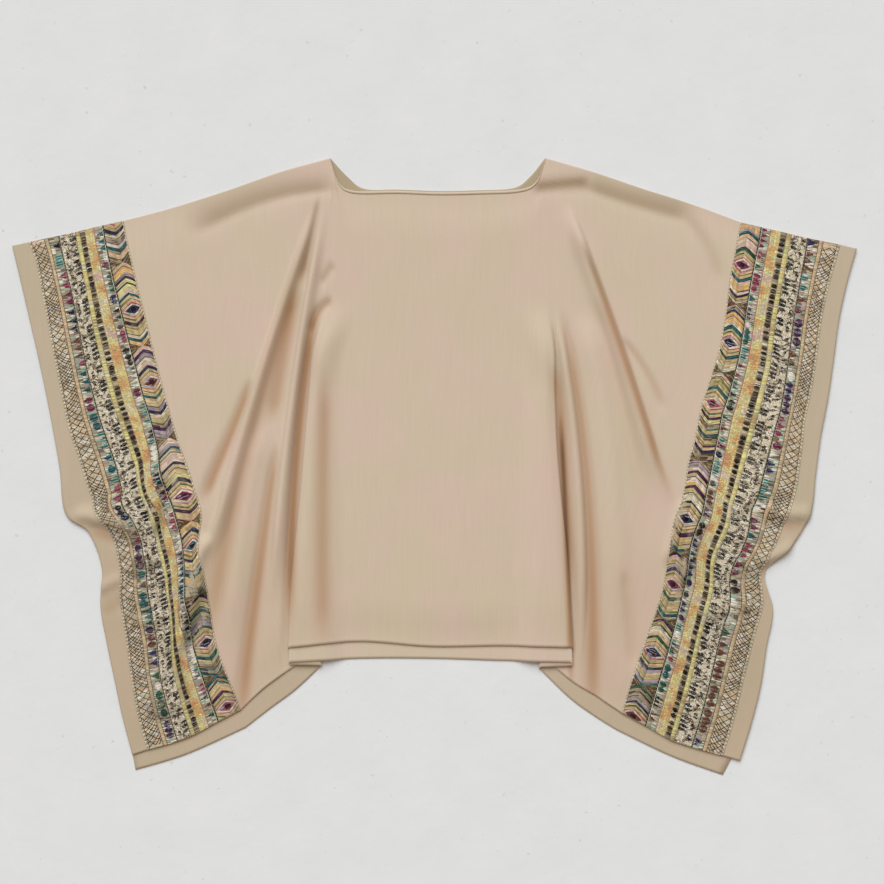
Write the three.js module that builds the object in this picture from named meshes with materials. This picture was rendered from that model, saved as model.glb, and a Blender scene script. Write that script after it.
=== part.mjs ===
// A poncho top of thin crepe with embroidered side borders, laid out flat on its back.
// Two cloths, a front and a slightly longer back, meet along the shoulders. Each side of the body is
// tucked: both cloths fold under the body together and come out again as a wide, loose wing.
import * as THREE from "three";

// Sizes in mm. The origin is the middle of the surface that it lies on, +X the wearer's left,
// +Y towards the neck and +Z up.
const CLOTH = 1.2; // one layer of cloth, with its nap
const GAP = 0.34; // between layers that lie on each other
const BEND = 0.5; // inside radius of a layer that folds back on itself
const HALF_PAIR = CLOTH + GAP / 2; // from between the two cloths to their outside
const TURN = BEND + HALF_PAIR; // radius of the two cloths together where they fold
const LEVEL = HALF_PAIR; // height of the join between the cloths where they lie flat
const NECK_TOP = 432; // the shoulder points at the neck
const FRONT_HEM = -253; // the front hem at the body's sides
const BACK_HEM = -274;
const BACK_INSET = 4; // the back's cuffs lie this far inside the front's
const BORDER_SHARE = 0.2; // plain margin outside the border, as a share of margin and border
const BORDER_THICK = 1.2;
const BINDING_WIDTH = 6; // of the strip sewn along the front neckline
const BINDING_THICK = 0.9;

// The tuck at each side of the body starts as a soft bend and then laps over the wing.
const TUCK_STARTS = 235;
const TUCK_LAPS = 110;
const TUCK_LEAST = 1;
const TUCK_AT_HEM = { right: 39, left: 40 };
const TUCK_DROP = { right: 7, left: 11 }; // how much lower the inner fold is at the hem
const SHOULDER_SLOPE = 0.28; // fall of the shoulder line beside the neck
const REST = 6; // the body lies on the tuck for this much past its inner fold
const SETTLE = 36; // and comes down to the surface over this width

// Where the body's side folds show, at even steps down from the shoulder points.
const SIDE_FOLD_STEP = 68.5;
const sideFold = [
  { right: -146, left: 155 },
  { right: -135, left: 149 },
  { right: -136, left: 148 },
  { right: -146, left: 153 },
  { right: -169, left: 166 },
  { right: -177, left: 169 },
  { right: -183, left: 172 },
  { right: -189, left: 178 },
  { right: -196, left: 185 },
  { right: -202, left: 190 },
  { right: -205, left: 194 },
  { right: -206, left: 196 },
];

// Outlines of each wing, from the shoulder down, or from the cuff inwards. The cuffs jog inwards
// below the middle, where the cloth is pushed into crumples.
const outline = {
  right: {
    cuff: [
      [-591.5, 309], [-579, 257], [-567, 205], [-555, 153], [-544, 101], [-534, 49], [-525, -4],
      [-517, -66], [-485, -92], [-466, -142], [-468, -195], [-459, -247], [-448, -300],
      [-437, -351], [-423, -404],
    ],
    borderInside: [
      [-432, 344], [-410, 246], [-387, 148], [-362, 50], [-335, -48], [-321, -148],
      [-307, -244], [-273, -341],
    ],
    shoulder: [[-432, 344], [-361, 364], [-289, 387], [-218, 412]],
    frontHem: [[-423, -404], [-347, -380], [-273, -341], [-241, -312], [-202, -284]],
    backHem: [[-419, -425], [-347, -403], [-265, -366], [-230, -339], [-195, -313]],
  },
  left: {
    cuff: [
      [591.5, 305], [577, 253], [566, 200], [559, 147], [551, 93], [541, 40], [534, -13],
      [527, -66], [499, -113], [463, -148], [474, -201], [465, -254], [457, -308],
      [444, -360], [428, -412],
    ],
    borderInside: [
      [429, 342], [410, 244], [391, 146], [368, 48], [338, -50], [323, -148],
      [295, -246], [267, -345],
    ],
    shoulder: [[429, 342], [361, 367], [292, 389], [224, 412]],
    frontHem: [[428, -412], [347, -388], [267, -345], [229, -323], [190, -299]],
    backHem: [[404, -432], [332, -406], [255, -369], [226, -351], [190, -325]],
  },
};
// The front's neckline lies a little lower than the back's, whose inside shows above it.
const neckline = {
  front: [[-134, 398], [-112, 385], [-52, 383], [5, 380], [60, 382], [119, 387], [143, 400]],
  back: [[-122, 406], [-98, 389], [-50, 388], [5, 386], [58, 387], [110, 390], [133, 405]],
};
const bodyHem = {
  front: [[-105, -245], [-5, -252], [94, -251]],
  back: [[-105, -269], [-5, -269], [94, -272]],
};

// Folds in the front cloth: ridges, and troughs with a height below zero. Each runs from one point
// past another to a third, and its half width goes from the first to the second. A crisp ridge falls
// away steeply on the side that faces the cuff.
const folds = [
  { from: [-166, 368], past: [-251, 122], to: [-330, -142], height: 13, width: [12, 18], crisp: true },
  { from: [-147, 366], past: [-186, 236], to: [-210, 79], height: 11, width: [9, 12], crisp: true },
  { from: [-205, 128], past: [-222, -60], to: [-241, -278], height: 10, width: [10, 15], crisp: true },
  { from: [-162, 340], past: [-196, 232], to: [-220, 131], height: -5, width: [8, 11] },
  { from: [-227, 16], past: [-245, -117], to: [-265, -310], height: -6, width: [10, 12] },
  { from: [-236, 100], past: [-262, -68], to: [-288, -271], height: 6, width: [14, 20] },
  { from: [-241, 121], past: [-278, -19], to: [-313, -180], height: -5, width: [11, 14] },
  { from: [-252, 125], past: [-287, 48], to: [-333, -47], height: -5, width: [8, 11] },
  { from: [-122, 390], past: [-212, 384], to: [-299, 356], height: -3, width: [10, 12] },
  { from: [188, 373], past: [260, 181], to: [336, -62], height: 13, width: [13, 17], crisp: true },
  { from: [258, 182], past: [300, 140], to: [322, 55], height: -4, width: [8, 10] },
  { from: [220, 247], past: [262, 100], to: [306, -124], height: -4, width: [8, 12] },
  { from: [204, 219], past: [241, 37], to: [262, -257], height: 7, width: [14, 20] },
  { from: [176, 233], past: [216, 37], to: [220, -229], height: -6, width: [9, 11] },
  { from: [163, 278], past: [202, 2], to: [206, -282], height: 10, width: [10, 12], crisp: true },
  { from: [250, -90], past: [272, -160], to: [286, -270], height: -4, width: [9, 12] },
  { from: [139, 391], past: [178, 395], to: [220, 400], height: -3, width: [9, 10] },
  { from: [211, 398], past: [282, 372], to: [349, 353], height: -3, width: [10, 12] },
  { from: [-510, -62], past: [-430, -96], to: [-340, -66], height: 6, width: [14, 15] },
  { from: [-480, -152], past: [-408, -190], to: [-335, -150], height: 6, width: [14, 15] },
  { from: [-335, -190], past: [-366, -262], to: [-398, -350], height: 6, width: [13, 15] },
  { from: [510, -92], past: [430, -88], to: [360, -50], height: 6, width: [14, 15] },
  { from: [480, -156], past: [400, -152], to: [336, -124], height: 6, width: [14, 15] },
  { from: [480, -225], past: [408, -232], to: [340, -190], height: 5, width: [14, 15] },
];
const LOFT = 3; // how far the front stands off the back between its folds
const FOLD_STEPS = 20;

// Where the grid of a cloth has its lines. Both cloths have the same rows and the same columns in the
// tucks and the body, so they nest. A wing's columns crowd towards the neck at the shoulder.
const ROWS = 27;
const TURN_CELLS = 4;
const PAST_TUCK = [6, 18, 30, 42];
const BODY_CELLS = 5;
const CROWD = 1.7;
const frontCells = { border: 6, wing: 19 };
const backCells = { border: 1, wing: 4 };

const lerp = (a, b, t) => a + (b - a) * t;
const clamp01 = (t) => Math.min(1, Math.max(0, t));
const smooth = (t) => clamp01(t) ** 2 * (3 - 2 * clamp01(t));
const signOf = { right: -1, left: 1 };

// A smooth curve through points, as a function of 0 to 1 with even shares between the points.
function through(points) {
  const curve = new THREE.SplineCurve(points.map(([x, y]) => new THREE.Vector2(x, y)));
  return (t) => curve.getPoint(clamp01(t));
}

// The patch between four edges that meet at its corners.
function patch(top, bottom, start, end) {
  return (across, down) => {
    const side = start(down).lerp(end(down), across);
    const level = top(across).lerp(bottom(across), down);
    const near = start(0).lerp(end(0), across);
    const corners = near.lerp(start(1).lerp(end(1), across), down);
    return side.add(level).sub(corners);
  };
}

const foldCurves = folds.map((fold) => {
  const points = [fold.from, fold.past, fold.to].map(([x, y]) => new THREE.Vector2(x, y));
  const control = points[1].clone().multiplyScalar(2);
  control.sub(points[0].clone().add(points[2]).multiplyScalar(0.5));
  const curve = new THREE.QuadraticBezierCurve(points[0], control, points[2]);
  return { ...fold, line: curve.getPoints(FOLD_STEPS) };
});

// What one fold adds to the height at a point: a bell across it that fades out at both ends.
function rise(fold, point) {
  let best = { distance: Infinity };
  for (let i = 0; i < FOLD_STEPS; i++) {
    const start = fold.line[i];
    const along = fold.line[i + 1].clone().sub(start);
    const share = clamp01(point.clone().sub(start).dot(along) / along.lengthSq());
    const offset = point.clone().sub(along.multiplyScalar(share).add(start));
    const distance = offset.length();
    if (distance < best.distance) best = { distance, offset, t: (i + share) / FOLD_STEPS };
  }
  const outwards = best.offset.x * Math.sign(fold.to[0]) > 0;
  const width = lerp(...fold.width, best.t) * (fold.crisp && outwards ? 0.7 : 1);
  const fade = smooth(best.t / 0.2) * (1 - smooth((best.t - 0.78) / 0.22));
  return fold.height * fade * Math.exp(-((best.distance / width) ** 2));
}

const sideFoldAt = {};
for (const side of ["right", "left"])
  sideFoldAt[side] = through(sideFold.map((row, i) => [row[side], NECK_TOP - i * SIDE_FOLD_STEP]));
const sideFoldX = (side, y) =>
  sideFoldAt[side]((NECK_TOP - y) / (SIDE_FOLD_STEP * (sideFold.length - 1))).x;

// How far the cloths have turned where they tuck, from 0 to half a turn, and how deep the tuck is.
const turned = (y) => Math.PI * smooth((TUCK_STARTS - y) / (TUCK_STARTS - TUCK_LAPS));
const tuckShare = (y) => Math.max(0, (TUCK_LAPS - y) / (TUCK_LAPS - FRONT_HEM));
const flatShare = (y) => 1 - turned(y) / Math.PI;
const tuckDepth = (side, y) => lerp(TUCK_LEAST, TUCK_AT_HEM[side], tuckShare(y));

// The run of a tuck from the wing to the body, as steps inwards and up.
function tuck(side, y) {
  const angle = turned(y);
  const steps = [];
  for (let i = 0; i < TURN_CELLS; i++)
    steps.push([(angle * (i + 0.5)) / TURN_CELLS, (Math.PI * TURN) / TURN_CELLS]);
  steps.push([angle, tuckDepth(side, y)]);
  for (let i = TURN_CELLS - 1; i >= 0; i--)
    steps.push([(angle * (i + 0.5)) / TURN_CELLS, (Math.PI * TURN) / TURN_CELLS]);
  const run = [{ inwards: 0, up: 0 }];
  for (const [heading, length] of steps) {
    const last = run.at(-1);
    run.push({
      inwards: last.inwards + length * Math.cos(heading),
      up: last.up + length * Math.sin(heading),
    });
  }
  return run;
}

// Where the body starts beside the tuck, and each point of the tuck's run.
function bodySide(side, y) {
  const bulge = (TURN + HALF_PAIR) * (1 - flatShare(y));
  return new THREE.Vector2(sideFoldX(side, y) - signOf[side] * bulge, y);
}

function tuckPoints(side, y) {
  const run = tuck(side, y);
  const end = run.at(-1);
  const start = bodySide(side, y);
  return run.map(({ inwards, up }, i) => {
    const left = end.inwards - inwards;
    const drop = TUCK_DROP[side] * tuckShare(y) * (1 - i / (run.length - 1));
    const fall = SHOULDER_SLOPE * left * flatShare(y);
    return { x: start.x + signOf[side] * left, y: y - drop - fall, up };
  });
}

const wingSide = (side, y) => {
  const { x, y: low } = tuckPoints(side, y)[0];
  return new THREE.Vector2(x, low);
};

// How far the body is lifted by the tuck beneath it, at a point of the body.
function bodyLift(x, y) {
  let lift = 0;
  for (const side of ["right", "left"]) {
    const inwards = (bodySide(side, y).x - x) * signOf[side];
    const past = inwards - tuckDepth(side, y) - REST;
    lift = Math.max(lift, tuck(side, y).at(-1).up * (1 - smooth(past / SETTLE)));
  }
  return lift;
}

// How far the front cloth stands off the back at a point: folds and loft, held down at the tucks.
function standOff(x, y, loft, hidden) {
  const point = new THREE.Vector2(x, y);
  const side = x < 0 ? "right" : "left";
  const away = Math.abs(x - sideFoldX(side, y)) - 2;
  const free = 1 - (1 - flatShare(y)) * (1 - (hidden ? 0 : smooth(away / 12)));
  let height = LOFT * loft;
  for (const fold of foldCurves) height += rise(fold, point);
  return free * (height + Math.hypot(height, 1)) / 2;
}

// One cloth as a grid of points on the join between the two cloths, row by row from the shoulder,
// each with how far the front stands off there. The columns run from the right cuff to the left.
function clothGrid(cloth, levels, cells) {
  const front = cloth === "front";
  const hemY = front ? FRONT_HEM : BACK_HEM;
  const downAt = (side) => (down) => bodySide(side, lerp(NECK_TOP, hemY, down));
  const patches = {};
  for (const side of ["right", "left"]) {
    const { cuff, borderInside, shoulder, frontHem, backHem } = outline[side];
    const hem = front ? frontHem : backHem;
    const edge = cuff.map(([x, y]) => [x - signOf[side] * (front ? 0 : BACK_INSET), y]);
    edge[edge.length - 1] = hem[0];
    const inside = [...borderInside.slice(0, -1), hem[2]];
    const wingEdge = (down) => wingSide(side, lerp(NECK_TOP, hemY, down));
    const { x: topX, y: topY } = wingEdge(0);
    const { x: hemX, y: wingHemY } = wingEdge(1);
    const border = patch(
      through([edge[0], inside[0]]), through(hem.slice(0, 3)), through(edge), through(inside),
    );
    const wing = patch(
      through([...shoulder, [topX, topY]]), through([...hem.slice(2), [hemX, wingHemY]]),
      through(inside), wingEdge,
    );
    patches[side] = { border, wing };
  }
  const corner = (side) => downAt(side)(0).toArray();
  const hemCorner = (side) => downAt(side)(1).toArray();
  const body = patch(
    through([corner("right"), ...neckline[cloth], corner("left")]),
    through([hemCorner("right"), ...bodyHem[cloth], hemCorner("left")]),
    downAt("right"), downAt("left"),
  );

  const downTo = (y) => (NECK_TOP - y) / (NECK_TOP - hemY);
  const wingRow = (side, level) => {
    const down = downTo(level);
    const row = [];
    const add = (place, name, loft) =>
      row.push({ x: place.x, y: place.y, z: LEVEL, name, loft, hidden: false });
    const lofty = smooth(down / 0.1) * smooth((1 - down) / 0.12);
    add(patches[side].border(0, down), "cuff", 0);
    for (let i = 0; i <= cells.border; i++) {
      const share = lerp(BORDER_SHARE, 1, i / cells.border);
      add(patches[side].border(share, down), "border", lofty * smooth(share / 0.5));
    }
    for (let i = 1; i < cells.wing; i++) {
      const even = i / cells.wing;
      const share = lerp(1 - (1 - even) ** CROWD, even, smooth(down * 1.6));
      add(patches[side].wing(share, down), "wing", lofty);
    }
    for (const point of row)
      point.hidden = (point.x - sideFoldX(side, point.y)) * signOf[side] < 0;
    return row;
  };
  const tuckRow = (side, level) =>
    tuckPoints(side, level).map(({ x, y, up }) => {
      return { x, y, z: LEVEL + up, name: "tuck", loft: 0, hidden: true };
    });
  const bodyShares = (level) => {
    const wide = bodySide("left", level).x - bodySide("right", level).x;
    const right = PAST_TUCK.map((past) => (past + tuckDepth("right", level)) / wide);
    const left = PAST_TUCK.map((past) => 1 - (past + tuckDepth("left", level)) / wide);
    const middle = [];
    for (let i = 1; i < BODY_CELLS; i++) middle.push(lerp(right.at(-1), left.at(-1), i / BODY_CELLS));
    return [...right, ...middle, ...left.reverse()];
  };

  const grid = [];
  for (const level of levels) {
    const down = downTo(level);
    const row = [...wingRow("right", level), ...tuckRow("right", level)];
    for (const share of bodyShares(level)) {
      const place = body(share, down);
      const z = LEVEL + bodyLift(place.x, place.y);
      const lofty = 0.6 * smooth(down / 0.1) * smooth((1 - down) / 0.06);
      row.push({ x: place.x, y: place.y, z, name: "body", loft: lofty, hidden: false });
    }
    row.push(...[...wingRow("left", level), ...tuckRow("left", level)].reverse());
    grid.push(row);
  }
  for (const point of grid.flat())
    point.z += front ? standOff(point.x, point.y, point.loft, point.hidden) : 0;
  return grid;
}

// The direction out of the cloth at each point of a grid, on the side that faces up where it is flat.
function outOf(grid) {
  const at = ({ x, y, z }) => new THREE.Vector3(x, y, z);
  return grid.map((row, i) =>
    row.map((_, j) => {
      const across = at(row[Math.min(j + 1, row.length - 1)]).sub(at(row[Math.max(j - 1, 0)]));
      const down = at(grid[Math.min(i + 1, grid.length - 1)][j]);
      down.sub(at(grid[Math.max(i - 1, 0)][j]));
      return down.cross(across).normalize();
    }),
  );
}

// A closed wall over part of a grid, between two distances out of it. Its cells are halved from the
// neck towards the cuffs, the way that the folds run.
function wall(grid, out, near, far, keep) {
  const rows = keep.rows ?? [0, grid.length - 1];
  const columns = keep.columns ?? [0, grid[0].length - 1];
  const [tall, wide] = [rows[1] - rows[0] + 1, columns[1] - columns[0] + 1];
  const positions = [];
  for (const distance of [near, far])
    for (let i = rows[0]; i <= rows[1]; i++)
      for (let j = columns[0]; j <= columns[1]; j++) {
        const { x, y, z } = grid[i][j];
        positions.push(...out[i][j].clone().multiplyScalar(distance).add({ x, y, z }).toArray());
      }
  const nearAt = (i, j) => i * wide + j;
  const farAt = (i, j) => tall * wide + i * wide + j;
  const faces = [];
  const quad = (a, b, c, d) => faces.push(a, b, c, a, c, d);
  for (let i = 0; i + 1 < tall; i++)
    for (let j = 0; j + 1 < wide; j++) {
      const cell = [[i, j], [i + 1, j], [i + 1, j + 1], [i, j + 1]];
      if (columns[0] + j < grid[0].length / 2) cell.push(cell.shift());
      const [a, b, c, d] = cell;
      quad(farAt(...a), farAt(...b), farAt(...c), farAt(...d));
      quad(nearAt(...a), nearAt(...d), nearAt(...c), nearAt(...b));
    }
  for (let j = 0; j + 1 < wide; j++) {
    quad(nearAt(0, j), farAt(0, j), farAt(0, j + 1), nearAt(0, j + 1));
    quad(nearAt(tall - 1, j + 1), farAt(tall - 1, j + 1), farAt(tall - 1, j), nearAt(tall - 1, j));
  }
  for (let i = 0; i + 1 < tall; i++) {
    quad(nearAt(i + 1, 0), farAt(i + 1, 0), farAt(i, 0), nearAt(i, 0));
    quad(nearAt(i, wide - 1), farAt(i, wide - 1), farAt(i + 1, wide - 1), nearAt(i + 1, wide - 1));
  }
  const geometry = new THREE.BufferGeometry();
  geometry.setAttribute("position", new THREE.Float32BufferAttribute(positions, 3));
  geometry.setIndex(faces);
  return geometry;
}

const crepe = new THREE.MeshStandardMaterial({ color: 0xc9b196, roughness: 0.75, metalness: 0 });
const stitched = new THREE.MeshStandardMaterial({ color: 0x9a8c72, roughness: 0.6, metalness: 0 });
const facing = new THREE.MeshStandardMaterial({ color: 0xbda78a, roughness: 0.7, metalness: 0 });

const poncho = new THREE.Group();
function piece(name, geometry, material) {
  const mesh = new THREE.Mesh(geometry, material);
  mesh.name = name;
  poncho.add(mesh);
}

// The front has one short row along the neckline, which the binding covers, and the back one more
// row than the front at its hem.
const levels = Array.from({ length: ROWS }, (_, i) =>
  lerp(NECK_TOP - BINDING_WIDTH, FRONT_HEM, i / (ROWS - 1)),
);
const frontGrid = clothGrid("front", [NECK_TOP, ...levels], frontCells);
const frontOut = outOf(frontGrid);
piece("front", wall(frontGrid, frontOut, GAP / 2, HALF_PAIR, {}), crepe);

const backGrid = clothGrid("back", [NECK_TOP, ...levels.slice(1), BACK_HEM], backCells);
piece("back", wall(backGrid, outOf(backGrid), -HALF_PAIR, -GAP / 2, {}), crepe);

// The borders and the neck binding are sewn on the front, so they are its own points, moved out.
const seam = HALF_PAIR + GAP;
const lastColumn = frontGrid[0].length - 1;
const borderColumns = {
  right: [1, 1 + frontCells.border],
  left: [lastColumn - 1 - frontCells.border, lastColumn - 1],
};
for (const [side, columns] of Object.entries(borderColumns))
  piece(`border_${side}`, wall(frontGrid, frontOut, seam, seam + BORDER_THICK, { columns }), stitched);

const bodyColumns = frontGrid[0].flatMap((point, j) => (point.name === "body" ? [j] : []));
const bindingPart = { rows: [0, 1], columns: [bodyColumns[0] - 1, bodyColumns.at(-1) + 1] };
piece("neck_binding", wall(frontGrid, frontOut, seam, seam + BINDING_THICK, bindingPart), facing);

export default poncho;
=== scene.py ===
# A poncho top of beige crepe with embroidered side borders, laid out flat on its back on a pale
# floor. Sizes are in mm on the cloth and become metres where a mesh is made. +X is the wearer's
# left, +Y the neck and +Z up.
from collections import namedtuple
from functools import partial

import bpy
import numpy as np
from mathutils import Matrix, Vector, noise


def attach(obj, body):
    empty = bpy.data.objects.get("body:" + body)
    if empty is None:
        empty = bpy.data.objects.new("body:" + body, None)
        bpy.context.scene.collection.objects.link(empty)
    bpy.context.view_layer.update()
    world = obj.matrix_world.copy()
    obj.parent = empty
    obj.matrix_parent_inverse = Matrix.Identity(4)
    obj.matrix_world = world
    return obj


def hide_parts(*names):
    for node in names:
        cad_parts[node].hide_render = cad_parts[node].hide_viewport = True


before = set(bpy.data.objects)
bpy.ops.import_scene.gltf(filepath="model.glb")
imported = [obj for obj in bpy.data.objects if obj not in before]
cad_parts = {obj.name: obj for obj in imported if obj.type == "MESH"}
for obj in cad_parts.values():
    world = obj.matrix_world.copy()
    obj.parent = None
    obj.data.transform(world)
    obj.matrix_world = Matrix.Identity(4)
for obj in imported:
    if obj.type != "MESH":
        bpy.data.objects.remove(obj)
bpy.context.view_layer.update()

# ---------------------------------------------------------------------------------------------
# The view: straight down from 2.9 m, so that the poncho fills the frame from cuff to cuff.
view = bpy.data.cameras.new("overhead")
view.lens = 85
view.sensor_width = 36
overhead = bpy.data.objects.new("overhead", view)
overhead.location = (0.0105, 0.0343, 2.926)
bpy.context.scene.collection.objects.link(overhead)
bpy.context.scene.camera = overhead

# ---------------------------------------------------------------------------------------------
# The front and the back: two widths of soft viscose crepe, seamed along the shoulders. Each side
# of the body is tucked, so both cloths fold under it together and come out again as a wing. The
# folds of the front start at the shoulders and fan out to the borders.
CLOTH = 1.2
GAP = 0.34
HALF_PAIR = CLOTH + GAP / 2

# Both cloths turn together round a bend of 0.5 mm. TURN is from its centre to the join of the two.
BEND = 0.5
TURN = BEND + HALF_PAIR

# Levels are in Y, and both cloths run from the top of the neck down to their own hems. The back's
# cuffs lie a little inside the front's. From a cuff to the inner seam of its border, the first
# share of the way is plain cloth.
NECK_TOP = 432
HEM = {"front": -253, "back": -274}
OUTWARDS = {"right": -1, "left": 1}
BACK_INSET = 4
BORDER_SHARE = 0.2

# A tuck starts to turn at one level and laps fully under the body from the next down. It gets
# deeper towards the hem, where its hidden cloth also hangs lower than the body. Its straight part
# has two cells, and the edges of the body and the wing are worked out with six in each turn.
# Above the tuck, the same cells follow the slope of the shoulder.
TUCK_STARTS = 235
TUCK_LAPS = 110
TUCK_LEAST = 1
TUCK_AT_HEM = {"right": 39, "left": 40}
TUCK_DROP = {"right": 7, "left": 11}
TUCK_STRAIGHT = 2
BODY_TURN = 6
SHOULDER_SLOPE = 0.28

# The body rests on a tuck and for REST past it, and then comes down over SETTLE.
REST = 6
SETTLE = 36

# Between its folds the front stands off the back by LOFT. It is held down at its edges and for
# TUCK_HOLD beside a tuck, and is free again after TUCK_FREES.
LOFT = 2.5
LOFT_EDGE = 0.1
LOFT_IN = 0.5
TUCK_HOLD = 2
TUCK_FREES = 12

# Near the shoulders the columns of a wing crowd towards its tuck, evenly again lower down.
CROWD = 1.7
CROWD_DEPTH = 1.6

# How far out the body ends at each side, at even steps down from the top of the neck.
SIDE_FOLD_STEP = 68.5
SIDE_FOLD = {
    "right": [-146, -135, -136, -146, -169, -177, -183, -189, -196, -202, -205, -206],
    "left": [155, 149, 148, 153, 166, 169, 172, 178, 185, 190, 194, 196],
}

# The edges of the wings, and the seams of the borders, as points that smooth curves run through.
OUTLINE = {
    "right": {
        "cuff": [
            (-591.5, 309), (-579, 257), (-567, 205), (-555, 153), (-544, 101), (-534, 49),
            (-525, -4), (-517, -66), (-485, -92), (-466, -142), (-468, -195), (-459, -247),
            (-448, -300), (-437, -351), (-423, -404),
        ],
        "border_inside": [
            (-432, 344), (-410, 246), (-387, 148), (-362, 50), (-335, -48), (-321, -148),
            (-307, -244), (-273, -341),
        ],
        "shoulder": [(-432, 344), (-361, 364), (-289, 387), (-218, 412)],
        "front_hem": [(-423, -404), (-347, -380), (-273, -341), (-241, -312), (-202, -284)],
        "back_hem": [(-419, -425), (-347, -403), (-265, -366), (-230, -339), (-195, -313)],
    },
    "left": {
        "cuff": [
            (591.5, 305), (577, 253), (566, 200), (559, 147), (551, 93), (541, 40), (534, -13),
            (527, -66), (499, -113), (463, -148), (474, -201), (465, -254), (457, -308),
            (444, -360), (428, -412),
        ],
        "border_inside": [
            (429, 342), (410, 244), (391, 146), (368, 48), (338, -50), (323, -148),
            (295, -246), (267, -345),
        ],
        "shoulder": [(429, 342), (361, 367), (292, 389), (224, 412)],
        "front_hem": [(428, -412), (347, -388), (267, -345), (229, -323), (190, -299)],
        "back_hem": [(404, -432), (332, -406), (255, -369), (226, -351), (190, -325)],
    },
}
NECKLINE = {
    "front": [(-134, 398), (-112, 386), (-52, 386), (5, 384), (60, 385), (119, 388), (143, 400)],
    "back": [(-122, 406), (-98, 389), (-50, 388), (5, 386), (58, 387), (110, 390), (133, 405)],
}
BODY_HEM = {
    "front": [(-105, -245), (-5, -252), (94, -251)],
    "back": [(-105, -269), (-5, -269), (94, -272)],
}

# Each fold: the points that it runs from, past and to, its height, below zero for a trough, its
# half width at both ends, what that is multiplied by on the side of the cuff, and how much
# painted shade its bottom gets.
Fold = namedtuple("Fold", "start past end height half_width to_cuff deep")
FOLDS = [Fold(*row) for row in [
    ((-157, 388), (-249, 112), (-322, -145), 12, (12, 18), 0.3, 0),
    ((-153, 370), (-201, 85), (-229, -200), 9, (8, 12), 0.35, 0),
    ((-163, 240), (-193, 20), (-204, -255), -7, (7, 7.5), 1, 1.5),
    ((-154, 380), (-256, 45), (-326, -290), -5, (7, 14), 1, 0.75),
    ((-160, 380), (-174, 318), (-188, 245), -4, (3.5, 8), 1, 0.65),
    ((-190, 262), (-212, 150), (-230, 50), -3, (9, 11), 1, 0.85),
    ((-220, 36), (-245, -140), (-281, -410), -6, (6, 11), 1, 1.0),
    ((-254, 128), (-290, 34), (-333, -60), -6, (5, 9), 1, 1.15),
    ((-240, 60), (-268, -80), (-290, -271), 5, (12, 16), 1, 0),
    ((-125, 389), (-237, 376), (-355, 320), -4, (6, 10), 2.4, 0.85),
    ((-140, 232), (-162, 217), (-176, 182), -4, (6, 6), 1, 0.8),
    ((-140, 284), (-149, 271), (-160, 252), -2, (7, 6), 1, 0.45),
    ((-152, 150), (-157, -60), (-155, -280), -3.5, (10, 13), 1, 0.85),
    ((183, 373), (255, 181), (331, -62), 13, (13, 17), 0.28, 0),
    ((203, 322), (260, 166), (336, -72), -5, (4.5, 6.5), 1, 1.2),
    ((258, 182), (295, 133), (324, 68), -4, (4, 6), 1, 0.4),
    ((222, 240), (262, 100), (306, -124), -3, (8, 12), 1, 0.2),
    ((204, 219), (241, 37), (262, -257), 6, (14, 20), 1, 0),
    ((176, 225), (216, -60), (218, -420), -8, (6, 12), 1, 1.0),
    ((168, 225), (201, 2), (206, -250), 7, (7, 9), 0.8, 0),
    ((167, 150), (181, 20), (193, -210), -1, (9, 8), 1, 1.0),
    ((175, 90), (185, -110), (192, -330), -2, (4, 4), 1, 1.5),
    ((264, -140), (274, -215), (284, -290), -3, (7, 10), 1, 0.2),
    ((130, 391), (178, 397), (222, 401), -5, (7, 8), 1.4, 1.25),
    ((200, 400), (279, 372), (375, 348), -4, (7, 10), 2.2, 0.9),
    ((350, 352), (382, 310), (405, 248), -2, (8, 9), 1, 0.3),
    # The borders are crumpled below the elbow, where the wearer's arm bends.
    ((-512, -62), (-463, -75), (-408, -84), 7, (9, 9), 1, 0),
    ((-487, -84), (-446, -102), (-396, -110), -5, (7, 8), 1, 0.7),
    ((-374, -15), (-379, -57), (-391, -112), -5, (7, 7), 1, 0.8),
    ((-404, -5), (-397, -54), (-400, -102), 4, (8, 8), 1, 0),
    ((-431, -142), (-412, -151), (-393, -128), -5, (7, 7), 1, 0.9),
    ((-316, -92), (-334, -159), (-367, -272), 8, (8, 8), 1, 0),
    ((-318, -166), (-337, -218), (-346, -272), -6, (7, 7), 1, 1.0),
    ((-402, -325), (-380, -348), (-358, -332), -4, (7, 7), 1, 0.8),
    ((-360, -258), (-355, -292), (-343, -332), -4, (6, 6), 1, 0.6),
    ((-474, -176), (-457, -164), (-436, -154), 4, (6, 6), 1, 0),
    ((-466, -206), (-450, -195), (-434, -182), -3, (6, 6), 1, 0.35),
    ((-440, -200), (-414, -215), (-384, -205), 4, (9, 9), 1, 0),
    ((530, -64), (498, -66), (462, -56), 6, (8, 8), 1, 0),
    ((522, -78), (491, -84), (453, -74), -4, (7, 7), 1, 0.5),
    ((508, -108), (467, -125), (427, -131), 6, (9, 8), 1, 0),
    ((470, -141), (444, -151), (417, -147), -4, (7, 7), 1, 0.5),
    ((483, -33), (451, -54), (421, -81), -4, (6, 6), 1, 0.5),
    ((437, -186), (407, -195), (368, -209), 4, (8, 8), 1, 0),
    ((441, -203), (409, -212), (375, -231), -3, (6, 6), 1, 0.5),
    ((368, -84), (358, -138), (346, -192), -5, (6, 6), 1, 0.8),
    ((342, -42), (335, -89), (321, -143), 4, (7, 7), 1, 0),
]]
FOLD_STEPS = 24
FOLD_RISES = 0.2
FOLD_FALLS = 0.22


def smooth(share):
    """A share from 0 to 1 that eases out of 0 and into 1."""
    share = np.clip(share, 0, 1)
    return share * share * (3 - 2 * share)


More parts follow.
